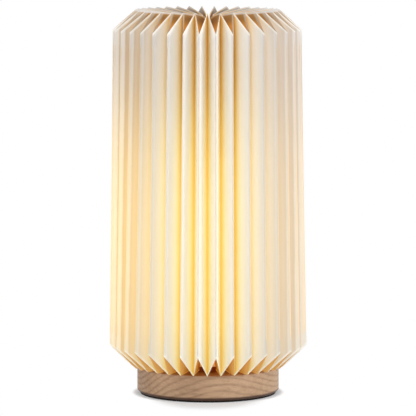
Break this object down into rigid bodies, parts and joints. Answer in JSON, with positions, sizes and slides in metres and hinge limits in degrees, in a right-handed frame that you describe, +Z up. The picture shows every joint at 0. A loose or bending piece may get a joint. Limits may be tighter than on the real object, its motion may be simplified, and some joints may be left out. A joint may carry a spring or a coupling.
{
  "type": "pleated paper table lamp",
  "caption": "Cordless table lamp: a tall cylinder of sharp pleated translucent paper glows around a light core, standing on a turned wooden disc base.",
  "frame": {"origin": "centre of the foot pad's underside, on the surface that the lamp stands on", "axes": "+Z up along the lamp's axis; the front, with a valley fold in its middle, looks along -Y; the charging socket is at the back, on +Y"},
  "size_m": [0.1542, 0.1539, 0.3],
  "materials": {
    "walnut": "oiled, open grain",
    "foot_rubber": "matt",
    "black_plastic": "moulded, matt",
    "white_plastic": "moulded, matt",
    "clear_plastic": "clear, polished end",
    "frosted_diffuser": "frosted, glowing warm",
    "screw_steel": "zinc plated",
    "ballast_steel": "mill finish",
    "socket_steel": "drawn, bright",
    "magnet_nickel": "nickel plated",
    "core_aluminium": "satin",
    "button_metal": "anodised, fine turned",
    "battery_wrap": "foil pouch",
    "foam": "closed cell foam",
    "board_laminate": "solder mask",
    "white_board": "white solder mask",
    "chip_plastic": "moulded, matt",
    "wire_sleeve": "soft sleeve",
    "led_phosphor": "phosphor, glowing",
    "shade_paper": "uncoated, translucent, sharp folds",
    "collar_card": "laminated board, matt"
  },
  "bodies": {
    "lamp_base": {"wood_base": "walnut", "foot_pad": "foot_rubber", "base_cover": "black_plastic", "cover_screws": "screw_steel", "ballast_plate": "ballast_steel", "battery_pack": "battery_wrap", "battery_foam": "foam", "battery_plug": "white_plastic", "battery_leads": "wire_sleeve", "control_board": "board_laminate", "board_spacers": "white_plastic", "board_screws": "screw_steel", "board_chips": "chip_plastic", "usb_shell": "socket_steel", "usb_tongue": "black_plastic", "port_bezel": "black_plastic", "tact_switch": "black_plastic", "charge_lens": "clear_plastic", "base_magnets": "magnet_nickel", "core_flange": "core_aluminium", "core_screws": "screw_steel", "post_screw": "screw_steel", "led_post": "core_aluminium", "led_link_board": "white_board", "led_strips": "white_board", "led_chips": "led_phosphor", "led_leads": "wire_sleeve", "diffuser_tube": "frosted_diffuser", "diffuser_cap": "frosted_diffuser"},
    "power_button": {"button_cap": "button_metal", "switch_plunger": "white_plastic"},
    "shade": {"pleated_shade": "shade_paper", "shade_top_folds": "shade_paper", "shade_bottom_folds": "shade_paper", "shade_collar": "collar_card", "shade_magnets": "magnet_nickel"}
  },
  "joints": [
    {"name": "button_press", "type": "slide", "parent": "lamp_base", "child": "power_button", "axis": [-0.2924, -0.9563, 0], "range_m": [0, 0.0008], "stiffness_N_per_m": 800, "springref_m": -0.0008},
    {"name": "shade_lift", "type": "slide", "parent": "lamp_base", "child": "shade", "axis": [0, 0, 1], "range_m": [0, 0.16]}
  ]
}
